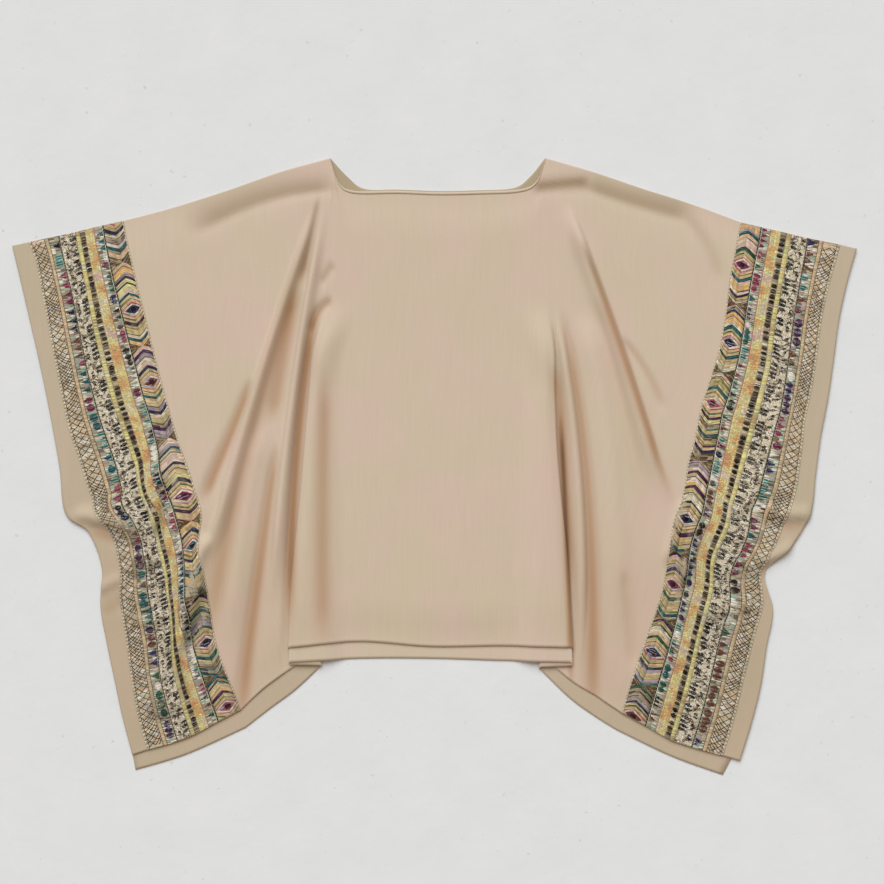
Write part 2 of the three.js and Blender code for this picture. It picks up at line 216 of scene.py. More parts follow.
def through(points, share):
    """A smooth curve through points, at shares of the way along it, the same for each step."""
    points = np.asarray(points, float)
    place = np.clip(share, 0, 1) * (len(points) - 1)
    start = np.minimum(np.asarray(place, int), len(points) - 2)
    w = (place - start)[..., None]
    a, b = points[start], points[start + 1]
    before = points[np.maximum(start - 1, 0)]
    after = points[np.minimum(start + 2, len(points) - 1)]
    leave, arrive = (b - before) / 2, (after - a) / 2
    bend = (2 * a - 2 * b + leave + arrive) * w**3
    return bend + (3 * b - 3 * a - 2 * leave - arrive) * w**2 + leave * w + a


def patch(top, bottom, start, end, across, down):
    """The surface between four edges, each a list of points or a function of the way along it."""
    top, bottom, start, end = (
        edge if callable(edge) else partial(through, edge) for edge in (top, bottom, start, end)
    )
    a, d = across[..., None], down[..., None]
    zero, one = np.zeros(1), np.ones(1)
    sides = start(down) * (1 - a) + end(down) * a
    levels = top(across) * (1 - d) + bottom(across) * d
    near = start(zero) * (1 - a) + end(zero) * a
    far = start(one) * (1 - a) + end(one) * a
    return sides + levels - near * (1 - d) - far * d


def level_at(cloth, share):
    """The level at a share of the way from the neck to a cloth's hem."""
    return NECK_TOP + (HEM[cloth] - NECK_TOP) * np.asarray(share, float)


def side_fold_x(side, y):
    """How far out the body ends at a level."""
    stations = np.stack([SIDE_FOLD[side], np.zeros(len(SIDE_FOLD[side]))], -1)
    share = (NECK_TOP - np.asarray(y, float)) / (SIDE_FOLD_STEP * (len(stations) - 1))
    return through(stations, share)[..., 0]


def turned(y):
    """How far a tuck has turned under at a level, from 0 to half a turn."""
    return np.pi * smooth((TUCK_STARTS - y) / (TUCK_STARTS - TUCK_LAPS))


def tuck_share(y):
    """The share of the way from where the tucks lap to the hem."""
    return np.maximum(0, (TUCK_LAPS - y) / (TUCK_LAPS - HEM["front"]))


def tuck_depth(side, y):
    return TUCK_LEAST + (TUCK_AT_HEM[side] - TUCK_LEAST) * tuck_share(y)


def tuck_run(side, y, turn_cells):
    """How far inwards and up each point of a tuck is from the wing, for each level y."""
    y = np.asarray(y, float)[..., None]
    share = (np.arange(turn_cells) + 0.5) / turn_cells
    share = np.concatenate([share, np.ones(TUCK_STRAIGHT), share[::-1]])
    heading = turned(y) * share
    on_turn = np.repeat([True, False, True], [turn_cells, TUCK_STRAIGHT, turn_cells])
    straight = tuck_depth(side, y) / TUCK_STRAIGHT
    lengths = np.where(on_turn, np.pi * TURN / turn_cells, straight)
    steps = np.stack([lengths * np.cos(heading), lengths * np.sin(heading)])
    start = np.zeros(steps.shape[:-1] + (1,))
    return np.concatenate([start, np.cumsum(steps, -1)], -1)


def body_side(side, y):
    """Where the body starts beside its tuck."""
    bulge = (TURN + HALF_PAIR) * turned(y) / np.pi
    return np.stack([side_fold_x(side, y) - OUTWARDS[side] * bulge, y], -1)


def tuck_points(side, y, turn_cells):
    """The x, y and height of each point of a tuck, from the wing to the body."""
    inwards, up = tuck_run(side, y, turn_cells)
    left = inwards[..., -1:] - inwards
    start = body_side(side, np.asarray(y, float))
    share = np.linspace(0, 1, left.shape[-1])
    level = np.asarray(y, float)[..., None]
    drop = TUCK_DROP[side] * tuck_share(level) * (1 - share)
    fall = SHOULDER_SLOPE * left * (1 - turned(level) / np.pi)
    x = start[..., 0:1] + OUTWARDS[side] * left
    return x, start[..., 1:2] - drop - fall, up


def body_lift(x, y):
    """How far the body is lifted by the tucks beneath it."""
    lift = np.zeros(np.shape(x))
    for side in OUTLINE:
        inwards = (body_side(side, y)[..., 0] - x) * OUTWARDS[side]
        past = inwards - tuck_depth(side, y) - REST
        top = tuck_run(side, y, BODY_TURN)[1][..., -1]
        lift = np.maximum(lift, top * (1 - smooth(past / SETTLE)))
    return lift


def bell(fold, x, y):
    """The share of one fold at each point: a bell across it that fades out at both ends."""
    start, past, end = (np.array(point, float) for point in (fold.start, fold.past, fold.end))
    middle = 2 * past - (start + end) / 2
    t = np.linspace(0, 1, FOLD_STEPS + 1)[:, None]
    line = start * (1 - t) ** 2 + middle * 2 * t * (1 - t) + end * t**2
    reach = 3 * max(fold.half_width)
    close = (x > line[:, 0].min() - reach) & (x < line[:, 0].max() + reach)
    close &= (y > line[:, 1].min() - reach) & (y < line[:, 1].max() + reach)
    bells = np.zeros(np.shape(x))
    if not close.any():
        return bells
    # The nearest point of the fold's line to each point of the cloth.
    points = np.stack([x[close], y[close]], -1)[:, None]
    along = np.diff(line, axis=0)
    share = np.clip(((points - line[:-1]) * along).sum(-1) / (along**2).sum(-1), 0, 1)
    offset = points - line[:-1] - along * share[..., None]
    distance = np.linalg.norm(offset, axis=-1)
    best = distance.argmin(-1)
    row = np.arange(len(best))
    t = (best + share[row, best]) / FOLD_STEPS
    to_cuff = offset[row, best, 0] * np.sign(end[0]) > 0
    first, last = fold.half_width
    half = (first + (last - first) * t) * np.where(to_cuff, fold.to_cuff, 1)
    fade = smooth(t / FOLD_RISES) * smooth((1 - t) / FOLD_FALLS)
    bells[close] = fade * np.exp(-((distance[row, best] / half) ** 2))
    return bells


def stand_off(x, y, loft, hidden):
    """How far the front stands off the back: folds and loft, held down at the tucks."""
    away = np.where(x < 0, side_fold_x("right", y) - x, x - side_fold_x("left", y))
    freed = smooth((np.abs(away) - TUCK_HOLD) / TUCK_FREES)
    free = 1 - turned(y) / np.pi * (1 - np.where(hidden, 0, freed))
    height = LOFT * loft
    for fold in FOLDS:
        height = height + fold.height * bell(fold, x, y)
    # The deepest troughs level out softly just above the back.
    return free * (height + np.hypot(height, 1)) / 2


def loose(down):
    """How loose the cloth is at a share of the way down, held at the shoulder and the hem."""
    return smooth(down / LOFT_EDGE) * smooth((1 - down) / LOFT_EDGE)


def side_block(cloth, side, levels, down, cells):
    """The border, wing and tuck of one side: x, y, height, looseness and what is hidden."""
    outline = OUTLINE[side]
    hem = outline[cloth + "_hem"]
    inset = OUTWARDS[side] * (BACK_INSET if cloth == "back" else 0)
    cuff = [(x - inset, y) for x, y in outline["cuff"][:-1]] + [hem[0]]
    inside = outline["border_inside"][:-1] + [hem[2]]
    margin = np.linspace(0, BORDER_SHARE, cells["margin"] + 1)[:-1]
    strip = np.linspace(BORDER_SHARE, 1, cells["border"] + 1)
    across, deep = np.meshgrid(np.concatenate([margin, strip]), down)
    border = patch([cuff[0], inside[0]], hem[:3], cuff, inside, across, deep)
    loft = [loose(deep) * smooth(across / LOFT_IN)]

    def wing_side(share):
        x, y, _ = tuck_points(side, level_at(cloth, share), BODY_TURN)
        return np.stack([x[..., 0], y[..., 0]], -1)

    shoulder = outline["shoulder"] + [tuple(wing_side(0.0))]
    wing_hem = hem[2:] + [tuple(wing_side(1.0))]
    even, deep = np.meshgrid(np.linspace(0, 1, cells["wing"] + 1)[1:-1], down)
    crowded = 1 - (1 - even) ** CROWD
    across = even + (crowded - even) * (1 - smooth(deep * CROWD_DEPTH))
    wing = patch(shoulder, wing_hem, inside, wing_side, across, deep)
    tuck_x, tuck_y, tuck_up = tuck_points(side, levels, cells["turn"])
    loft += [loose(deep), np.repeat(loose(down)[:, None], tuck_x.shape[1], 1)]
    x = np.concatenate([border[..., 0], wing[..., 0], tuck_x], 1)
    y = np.concatenate([border[..., 1], wing[..., 1], tuck_y], 1)
    up = np.zeros(x.shape)
    up[:, -tuck_up.shape[1]:] = tuck_up
    hidden = (x - side_fold_x(side, y)) * OUTWARDS[side] < 0
    hidden[:, -tuck_x.shape[1]:] = True
    return x, y, up, np.concatenate(loft, 1), hidden


def body_block(cloth, down, cells):
    """The body between the two tucks, as the same five tables."""
    sides = [
        lambda share, side=side: body_side(side, level_at(cloth, share)) for side in OUTLINE
    ]
    edges = []
    for end, middle in ((0.0, NECKLINE[cloth]), (1.0, BODY_HEM[cloth])):
        right, left = (tuple(edge(end)) for edge in sides)
        edges.append([right, *middle, left])
    even, deep = np.meshgrid(np.linspace(0, 1, cells["body"] + 1)[1:-1], down)
    body = patch(*edges, *sides, even, deep)
    x, y = body[..., 0], body[..., 1]
    return x, y, body_lift(x, y), loose(deep), np.zeros(x.shape, bool)


def cloth_grid(cloth, levels, cells):
    """One cloth as rows of points on the join between both, from the right cuff to the left."""
    levels = np.asarray(levels, float)
    down = (NECK_TOP - levels) / (NECK_TOP - HEM[cloth])
    right, left = (side_block(cloth, side, levels, down, cells) for side in OUTLINE)
    left = [table[:, ::-1] for table in left]
    tables = zip(right, body_block(cloth, down, cells), left)
    x, y, up, loft, hidden = (np.concatenate(table, 1) for table in tables)
    z = HALF_PAIR + up
    if cloth == "front":
        z = z + stand_off(x, y, loft, hidden)
    return np.stack([x, y, z], -1)


def out_of(grid):
    """The direction out of the cloth at each point, on the side that faces up where it is flat."""
    across = np.empty_like(grid)
    across[:, 1:-1] = grid[:, 2:] - grid[:, :-2]
    across[:, 0], across[:, -1] = grid[:, 1] - grid[:, 0], grid[:, -1] - grid[:, -2]
    down = np.empty_like(grid)
    down[1:-1] = grid[2:] - grid[:-2]
    down[0], down[-1] = grid[1] - grid[0], grid[-1] - grid[-2]
    out = np.cross(down, across)
    return out / np.linalg.norm(out, axis=-1, keepdims=True)


def new_piece(name, points, corners, totals):
    """A piece from its points in mm, the corners of all its faces and how many each face has."""
    mesh = bpy.data.meshes.new(name)
    mesh.vertices.add(len(points))
    mesh.vertices.foreach_set("co", (np.asarray(points) / 1000).astype(np.float32).ravel())
    mesh.loops.add(len(corners))
    mesh.loops.foreach_set("vertex_index", corners.astype(np.int32))
    mesh.polygons.add(len(totals))
    starts = np.concatenate([[0], np.cumsum(totals)[:-1]])
    mesh.polygons.foreach_set("loop_start", starts.astype(np.int32))
    mesh.polygons.foreach_set("loop_total", totals.astype(np.int32))
    mesh.update(calc_edges=True)
    piece = bpy.data.objects.new(name, mesh)
    bpy.context.scene.collection.objects.link(piece)
    return piece


def wall(name, inner, outer, cloth_map=None, shade=None):
    """A closed wall between two grids of points, with its map in mm and its shade."""
    tall, wide = inner.shape[:2]
    low = np.arange(tall * wide).reshape(tall, wide)
    high = low + tall * wide
    faces = np.concatenate([np.stack([c.ravel() for c in corners], -1) for corners in (
        (high[:-1, :-1], high[1:, :-1], high[1:, 1:], high[:-1, 1:]),
        (low[:-1, :-1], low[:-1, 1:], low[1:, 1:], low[1:, :-1]),
        (low[0, :-1], high[0, :-1], high[0, 1:], low[0, 1:]),
        (low[-1, 1:], high[-1, 1:], high[-1, :-1], low[-1, :-1]),
        (low[1:, 0], high[1:, 0], high[:-1, 0], low[:-1, 0]),
        (low[:-1, -1], high[:-1, -1], high[1:, -1], low[1:, -1]),
    )])
    points = np.concatenate([inner.reshape(-1, 3), outer.reshape(-1, 3)])
    piece = new_piece(name, points, faces.ravel(), np.full(len(faces), 4))
    mesh = piece.data
    if cloth_map is not None:
        uv = np.tile(np.stack([part.ravel() for part in cloth_map], -1) / 1000, (2, 1))
        uv = uv[faces.ravel()].astype(np.float32)
        mesh.uv_layers.new(name="cloth").data.foreach_set("uv", uv.ravel())
    if shade is not None:
        values = np.tile(shade.ravel(), 2).astype(np.float32)
        mesh.attributes.new("shade", "FLOAT", "POINT").data.foreach_set("value", values)
    # Both faces of the cloth are smooth, and its rims are flat, so they meet at a sharp edge.
    on_face = np.arange(len(faces)) < 2 * (tall - 1) * (wide - 1)
    mesh.polygons.foreach_set("use_smooth", on_face)
    return piece


def flat_map(grid):
    """Where each point is on the flat cloth: mm across from the middle, and down from the top."""
    steps = np.linalg.norm(np.diff(grid, axis=1), axis=-1)
    across = np.concatenate([np.zeros((len(grid), 1)), np.cumsum(steps, 1)], 1)
    across = across - across[:, across.shape[1] // 2][:, None]
    steps = np.linalg.norm(np.diff(grid, axis=0), axis=-1)
    down = np.concatenate([np.zeros((1, grid.shape[1])), np.cumsum(steps, 0)])
    return across, down


# The crumples also push the borders sideways. Each row gives a level, and there the places of the
# outer edge, the first dark line, the straw band, the second dark line and the inner edge, which
# lie at LINES on the flat border. Past the inner edge the push dies out over SWAY_ENDS.
BORDER_WIDTH = 135
LINES = (0, 37.5, 60, 96, BORDER_WIDTH)
SWAY_ENDS = 45
BORDER_LINES = {
    "right": [
        (314, -568, -524, -496, -459, -429), (289, -558, -519, -491, -455, -424),
        (233, -547, -505, -480, -443, -411), (177, -537, -494, -470, -429, -397),
        (121, -526, -483, -457, -414, -383), (65, -515, -469, -441, -399, -368),
        (37, -507, -460, -431, -389, -360), (-19, -489, -442, -411, -375, -342),
        (-47, -478, -432, -401, -369, -334), (-75, -468, -426, -390, -363, -327),
        (-103, -450, -411, -387, -358, -320), (-131, -443, -407, -382, -351, -324),
        (-173, -441, -403, -373, -345, -323), (-215, -436, -394, -366, -344, -313),
        (-257, -430, -386, -362, -337, -302), (-299, -424, -382, -359, -324, -288),
        (-355, -414, -369, -344, -304, -271),
    ],
    "left": [
        (317, 568, 521, 494, 453, 424), (289, 562, 517, 489, 449, 418),
        (233, 547, 507, 479, 438, 407), (177, 538, 499, 470, 429, 400),
        (121, 530, 491, 463, 419, 389), (65, 518, 482, 449, 404, 371),
        (37, 516, 474, 442, 394, 360), (-19, 509, 460, 425, 380, 345),
        (-47, 502, 451, 414, 372, 338), (-75, 491, 438, 403, 365, 338),
        (-103, 480, 432, 397, 362, 337), (-131, 466, 426, 391, 358, 327),
        (-173, 459, 414, 388, 351, 315), (-215, 454, 409, 376, 337, 306),
        (-257, 443, 396, 365, 327, 293), (-299, 432, 386, 355, 316, 279),
        (-355, 419, 372, 340, 298, 262),
    ],
}


def sway(x, y, side):
    """Pushes one side's columns, from the cuff inwards, to where the border's lines lie."""
    margin, border = FRONT_CELLS["margin"], FRONT_CELLS["border"]
    rows = np.array(BORDER_LINES[side], float)
    across = np.linspace(0, BORDER_WIDTH, border + 1)
    push = np.zeros((len(rows), len(LINES)))
    for k, line_place in enumerate(LINES):
        column = margin + np.interp(line_place, across, np.arange(border + 1))
        low, part = int(column), column - int(column)
        high = min(low + 1, x.shape[1] - 1)
        line_x = x[:, low] * (1 - part) + x[:, high] * part
        line_y = y[:, low] * (1 - part) + y[:, high] * part
        push[:, k] = rows[:, k + 1] - np.interp(-rows[:, 0], -line_y, line_x)
    steps = np.hypot(np.diff(x, axis=1), np.diff(y, axis=1))
    outside = steps[:, :margin].sum(1)
    scale = steps[:, margin:margin + border].sum(1) / BORDER_WIDTH
    pushed = np.zeros(x.shape)
    for i, row in enumerate(steps):
        place = np.concatenate([[0], np.cumsum(row)]) - outside[i]
        stops = [-outside[i], *(np.array(LINES) * scale[i])]
        stops += [stops[-1] + SWAY_ENDS]
        here = [np.interp(-y[i, margin], -rows[:, 0], push[:, k]) for k in range(len(LINES))]
        pushed[i] = np.interp(place, stops, [0, *here, 0])
    return pushed


# The front's own grid: its rows are levels down from the neck, close together where the binding and
# the turned hem are, and its columns are shared out between the parts of each side and the body.
FRONT_ROWS = 128
FRONT_TOP = [NECK_TOP, NECK_TOP - 2]
FRONT_HEM = [HEM["front"] + 8, HEM["front"] + 4, HEM["front"]]
even_rows = np.linspace(NECK_TOP - 4, HEM["front"] + 9, FRONT_ROWS)
FRONT_CELLS = {"margin": 6, "border": 36, "wing": 84, "turn": 8, "body": 66}
side_cells = FRONT_CELLS["margin"] + FRONT_CELLS["border"] + FRONT_CELLS["wing"]
tuck_cells = 2 * FRONT_CELLS["turn"] + TUCK_STRAIGHT
front_grid = cloth_grid("front", [*FRONT_TOP, *even_rows, *FRONT_HEM], FRONT_CELLS)
tall, wide = front_grid.shape[:2]

# Painted shade, which the crepe takes into its colour: deep in the folds, and a little in its
# lower half, darker towards the hem and more there on the wings. Each run is where a change of
# shade starts and over how many mm it comes in.
LOWER_SHADE = 0.05
LOWER_RUN = (10, 180)
WING_SHADE = 0.15
WING_RUN = (150, 60)
shade = np.zeros((tall, wide))
for fold in FOLDS:
    if fold.deep:
        shade += fold.deep * bell(fold, front_grid[..., 0], front_grid[..., 1])
on_wing = smooth((np.abs(front_grid[..., 0]) - WING_RUN[0]) / WING_RUN[1])
lower = smooth((-front_grid[..., 1] - LOWER_RUN[0]) / LOWER_RUN[1])
shade += (LOWER_SHADE + WING_SHADE * on_wing) * lower

for side, grid in (("right", front_grid), ("left", front_grid[:, ::-1])):
    part = grid[:, :side_cells]
    part[..., 0] += sway(part[..., 0], part[..., 1], side)

# Fine wrinkles: the crepe never lies quite even, so it rises and falls by under a millimetre. They
# are a long ripple and a short one, each with its height, its size across and along, and a seed.
# They die out within some rows or columns of the shoulders, the cuffs and the tucks.
RIPPLES = [(0.8, 70, 130, 3.0), (0.32, 24, 60, 9.0)]
RIPPLE_LIFT = 0.5
CALM_ROWS = 12
CALM_CUFF = 10
CALM_TUCK = 20
ripple = np.zeros((tall, wide))
for i, row in enumerate(front_grid):
    for j, (x, y, _) in enumerate(row):
        for height, across, along, seed in RIPPLES:
            ripple[i, j] += height * noise.noise((x / across, y / along, seed))
from_cuff = np.minimum(np.arange(wide), np.arange(wide)[::-1])
from_tuck = np.abs(from_cuff - side_cells - tuck_cells / 2)
ripple *= smooth(from_tuck / CALM_TUCK - 0.5) * smooth(from_cuff / CALM_CUFF)
ripple *= smooth(np.arange(tall) / CALM_ROWS)[:, None]
# They can't push the front down into the back, so they rise only where it stands off.
clear = smooth((front_grid[..., 2] - HALF_PAIR) / 2)
front_grid[..., 2] += np.maximum(ripple + RIPPLE_LIFT, 0) * clear
front_out = out_of(front_grid)

# The hems and cuffs are turned in twice, so a narrow strip along their edges is a little thicker.
HEM_THICK = 0.2
hem_thick = np.zeros((tall, wide, 1))
hem_thick[-2:] = HEM_THICK
hem_thick[:, :3] = HEM_THICK
hem_thick[:, -3:] = HEM_THICK
front = wall(
    "front_cloth",
    front_grid + front_out * GAP / 2,
    front_grid + front_out * (HALF_PAIR + hem_thick),
    flat_map(front_grid),
    shade,
)

# The back has the same rows down to the front's hem and a few more to its own, which shows past
# it and lies in its shade, painted in as a little darkening towards its hem.
BACK_HEM = [HEM["front"], *(HEM["back"] + above for above in (12, 8, 4, 0))]
BACK_CELLS = {"margin": 2, "border": 10, "wing": 30, "turn": 8, "body": 66}
BACK_SHADE = 0.12
BACK_RUN = (270, 60)
back_grid = cloth_grid("back", [NECK_TOP, *even_rows, *BACK_HEM], BACK_CELLS)
back_out = out_of(back_grid)
back = wall(
    "back_cloth",
    back_grid - back_out * HALF_PAIR,
    back_grid - back_out * GAP / 2,
    flat_map(back_grid),
    BACK_SHADE * smooth((-back_grid[..., 1] - BACK_RUN[0]) / BACK_RUN[1]),
)


def linear(hex_colour):
    """An sRGB hex colour as linear red, green, blue and alpha."""
    channels = [int(hex_colour[i:i + 2], 16) / 255 for i in (1, 3, 5)]
    return [c / 12.92 if c <= 0.04045 else ((c + 0.055) / 1.055) ** 2.4 for c in channels] + [1]


def add(tree, kind, settings=None, **links):
    """A node with its settings, its sockets filled from values or from other nodes' outputs.

    A socket goes by its name with underscores for spaces, or by its number after an i.
    """
    node = tree.nodes.new("ShaderNode" + kind)
    for name, value in (settings or {}).items():
        setattr(node, name, value)
    for name, value in links.items():
        socket = node.inputs[int(name[1:]) if name[1:].isdigit() else name.replace("_", " ")]
        if isinstance(value, bpy.types.NodeSocket):
            tree.links.new(value, socket)
        elif isinstance(value, bpy.types.Node):
            tree.links.new(value.outputs[0], socket)
        else:
            socket.default_value = value
    return node


def new_material(name):
    """A material without nodes, and its node tree."""
    material = bpy.data.materials.new(name)
    material.use_nodes = True
    material.node_tree.nodes.clear()
    return material, material.node_tree


# Viscose crepe: fine high-twist yarns in a plain weave, dyed beige. It has a soft sheen on its
# folds and a dry face of 2 mm pebbles. Its threads are 0.4 mm apart, too fine to show, so they
# are drawn 2.6 mm apart, which is a wave of scale 120. Slubs 3 mm wide and 70 mm long run down
# the cloth. The shade of its folds is painted into its colour: a warmer brown in the troughs, an
# olive one along the shoulders, and a near-black brown where the painted shade is deepest.
WEAVE_BANDS = 120.0
PAINTED_FOLD_SHADE_BROWN = "#A87F5A"
PAINTED_SHOULDER_SHADE_OLIVE = "#957C5E"
PAINTED_FOLD_SHADOW_DARK = "#4A2E1B"


def woven_crepe(name, shades):
    """Viscose crepe that varies softly between two shades."""
    material, tree = new_material(name)
    place = add(tree, "TexCoord").outputs["Object"]
    flat = add(tree, "UVMap", {"uv_map": "cloth"})
    patches = add(tree, "TexNoise", Vector=place, Scale=9.0, Detail=2.0)
    tone = add(tree, "ValToRGB", Fac=patches.outputs["Fac"])
    for stop, position, tint in zip(tone.color_ramp.elements, (0.35, 0.65), shades):
        stop.position, stop.color = position, linear(tint)
    slubs = add(tree, "Mapping", Vector=flat, Scale=(320.0, 14.0, 1.0))
    slubs = add(tree, "TexNoise", Vector=slubs, Scale=1.0, Detail=3.0)
    slubs = add(tree, "MapRange", Value=slubs.outputs["Fac"], To_Min=0.95, To_Max=1.05)
    colour = add(tree, "MixRGB", {"blend_type": "MULTIPLY"}, Fac=1.0, Color1=tone, Color2=slubs)

    # Painted shade: the shade attribute tints the crepe brown in the folds, olive near the
    # shoulders, and near-black brown where deepest.
    deep = add(tree, "Attribute", {"attribute_name": "shade"}).outputs["Fac"]
    painted_shade_share = add(tree, "MapRange", Value=deep, From_Max=1.3, To_Max=0.95)
    up_top = add(tree, "SeparateXYZ", Vector=place).outputs["Y"]
    up_top = add(tree, "MapRange", Value=up_top, From_Min=0.2, From_Max=0.32)
    brown, olive = linear(PAINTED_FOLD_SHADE_BROWN), linear(PAINTED_SHOULDER_SHADE_OLIVE)
    painted_shade_tint = add(tree, "MixRGB", Fac=up_top, Color1=brown, Color2=olive)
    colour = add(tree, "MixRGB", Fac=painted_shade_share, Color1=colour, Color2=painted_shade_tint)
    painted_darkening = add(tree, "MapRange", Value=deep, From_Min=1.2, From_Max=2.6, To_Max=0.9)
    colour = add(tree, "MixRGB", Fac=painted_darkening, Color1=colour, Color2=linear(PAINTED_FOLD_SHADOW_DARK))

    yarns = {"Vector": flat, "Scale": WEAVE_BANDS, "Distortion": 1.5}
    warp = add(tree, "TexWave", {"bands_direction": "X"}, **yarns).outputs["Fac"]
    weft = add(tree, "TexWave", {"bands_direction": "Y"}, **yarns).outputs["Fac"]
    weave = add(tree, "Math", {"operation": "MAXIMUM"}, i0=warp, i1=weft)
    weave = add(tree, "Bump", Strength=0.18, Distance=0.0003, Height=weave)
    pebbles = add(tree, "TexNoise", Vector=place, Scale=420.0, Detail=2.0).outputs["Fac"]
    bump = add(tree, "Bump", Strength=0.25, Distance=0.0006, Height=pebbles, Normal=weave)
    surface = add(
        tree, "BsdfPrincipled", Base_Color=colour, Roughness=0.78, Sheen_Weight=0.25,
        Sheen_Roughness=0.5, Normal=bump,
    )
    add(tree, "OutputMaterial", Surface=surface)
    return material


crepe = woven_crepe("viscose_crepe", ("#C8B79D", "#CCB5A2"))
# Cuffs and hems are turned in twice, and there the crepe is drawn a little darker and greener.
facing = woven_crepe("viscose_crepe_turned", ("#B8A98E", "#BDAA92"))
# The facing inside the neck lies in its own shade, which is painted in: its crepe is browner than
# the rest.
neck_facing = woven_crepe("viscose_crepe_neck_facing", ("#B09F82", "#A89678"))

# The front is turned in at both cuffs, out from its borders.
front.data.materials.append(crepe)
front.data.materials.append(facing)
columns = np.empty(len(front.data.loops), np.int32)
front.data.loops.foreach_get("vertex_index", columns)
columns = (columns % wide).reshape(-1, 4).mean(1)
on_cuff = np.minimum(columns, wide - 1 - columns) < FRONT_CELLS["margin"]
front.data.polygons.foreach_set("material_index", on_cuff.astype(np.int32))
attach(front, "root")
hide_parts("front")

# The back shows only at its edges, where it is turned in: past the front's cuffs and hems on both
# wings, and in the neck, whose facing is a few rows deep.
WING_SHOWS = BACK_CELLS["margin"] + BACK_CELLS["border"] + BACK_CELLS["wing"] + 6
NECK_ROWS = 6
back.data.materials.append(crepe)
back.data.materials.append(facing)
back.data.materials.append(neck_facing)
upper_slots = np.zeros((len(back_grid) - 1, back_grid.shape[1] - 1), np.int32)
upper_slots[:, :WING_SHOWS] = 1
upper_slots[:, -WING_SHOWS:] = 1
upper_slots[:NECK_ROWS, WING_SHOWS + 2:-WING_SHOWS - 2] = 2
slots = np.zeros(len(back.data.polygons), np.int32)
slots[:upper_slots.size] = upper_slots.ravel()
back.data.polygons.foreach_set("material_index", slots)
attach(back, "root")
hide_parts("back")

# ---------------------------------------------------------------------------------------------
# The borders: a strip sewn on near each cuff, from the shoulder to the hem, woven of undyed cotton
# and then embroidered all over. The strip is the front's own points, moved out by its seam.
STRIP_THICK = 0.6
SEAM = HALF_PAIR + GAP
margin = FRONT_CELLS["margin"]
border_columns = {
    "right": slice(margin, margin + FRONT_CELLS["border"] + 1),
    "left": slice(wide - margin - FRONT_CELLS["border"] - 1, wide - margin),
}

# Undyed cotton: a dry, greyish cloth that shows only between the stitches, uneven every 4 mm.
cotton, tree = new_material("undyed_cotton")
place = add(tree, "TexCoord").outputs["Object"]
slubs = add(tree, "TexNoise", Vector=place, Scale=260.0, Detail=3.0).outputs["Fac"]
tone = add(tree, "ValToRGB", Fac=slubs)
for stop, tint in zip(tone.color_ramp.elements, ("#8F8068", "#C3B396")):
    stop.color = linear(tint)
bump = add(tree, "Bump", Strength=0.4, Distance=0.0004, Height=slubs)
surface = add(tree, "BsdfPrincipled", Base_Color=tone, Roughness=0.85, Normal=bump)
add(tree, "OutputMaterial", Surface=surface)

for side, part in border_columns.items():
    grid, out = front_grid[:, part], front_out[:, part]
    strip = wall(
        "border_strip_" + side, grid + out * SEAM, grid + out * (SEAM + STRIP_THICK),
        shade=shade[:, part],
    )
    strip.data.materials.append(cotton)
    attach(strip, "root")
    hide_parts("border_" + side)

# ---------------------------------------------------------------------------------------------
# The embroidery: rayon thread in satin and back stitch, in columns that run down each border.
# From the cuff inwards they are a lattice, a sand band, coloured teeth, a marbled column with dark
# petals, a straw band, dark ovals, a yellow column, more teeth, and chevrons round lozenges. The
# thread is 0.4 mm thick, so each stitch here stands for three or four that lie side by side.
STITCH = 1.5
SATIN_PITCH = 1.4
SATIN_STAGGER = 1.2
BACK_STITCH = 5
BACK_STITCH_SHARE = 0.94
MOTIF_STITCH = 1.7
MOTIF_PITCH = 1.15
MOTIF_HIGH = 0.6
THREADS = {
    "cream": "#D8CCB2", "sand": "#CDB88F", "straw": "#D8D295", "khaki": "#BFA97A",
    "yellow": "#E2CC82", "amber": "#DBB068", "orange": "#CB9058", "peach": "#D6B28E",
    "pink": "#D2B0A0", "rose": "#A5545F", "magenta": "#7C2348", "rust": "#6E3A2C",
    "brown": "#56402C", "sepia": "#3A2C20", "black": "#0E0C0B", "olive": "#7A7546",
    "green": "#2C5C42", "teal": "#1B6064", "pine": "#1B332F", "mint": "#8FB59E",
    "navy": "#20294F", "purple": "#45294F", "lilac": "#AB99A0", "plum": "#3B1626",
    "grey": "#857E72", "taupe": "#A3937A", "white": "#EDE6DA",
}
THREAD_NAMES = list(THREADS)

# The columns, in mm from the outer edge of the border, and the lines of back stitch beside them.
LATTICE = (3.5, 19.8)
SAND_BAND = (20.8, 25)
OUTER_TEETH = (25, 36.8)
MARBLED = (38.2, 57)
STRAW_BAND = (57, 63)
OVALS = (63, 70.2)
YELLOW = (70.2, 82.6)
INNER_TEETH = (83.4, 95)
CHEVRONS = (97.2, 132)
EDGE_LINES = (0.8, 2.4, BORDER_WIDTH - 2.4, BORDER_WIDTH - 0.8)
TAUPE_LINE = 1.6
BROWN_LINES = (3.4, 20.3, 25)
OLIVE_LINES = (57.2, 63)
ROSE_LINE = 83
CREAM_LINE = 94.7
PINE_LINES = (37.5, 96.1)


def dyed(names):
    """The numbers of threads in the palette, by name."""
    return np.array([THREAD_NAMES.index(name) for name in np.atleast_1d(names)])


def sew(start, end, width, height, threads):
    """Stitches from start to end, each (mm from the outer edge, mm from the shoulder)."""
    parts = [*start, *end, width, height, threads]
    return np.stack(np.broadcast_arrays(*(np.atleast_1d(part) for part in parts)), -1)


def drift(across, along, size, seed):
    """A value from 0 to 1 that changes softly over patches of a size, in mm."""
    values = [noise.noise((s / size, a / size, seed)) for s, a in zip(across, along)]
    return np.clip(np.array(values) * 0.9 + 0.5, 0, 0.999)


def pick(palette, value):
    """A thread from a palette for each value from 0 to 1."""
    return dyed(palette)[(np.clip(value, 0, 0.999) * len(palette)).astype(int)]


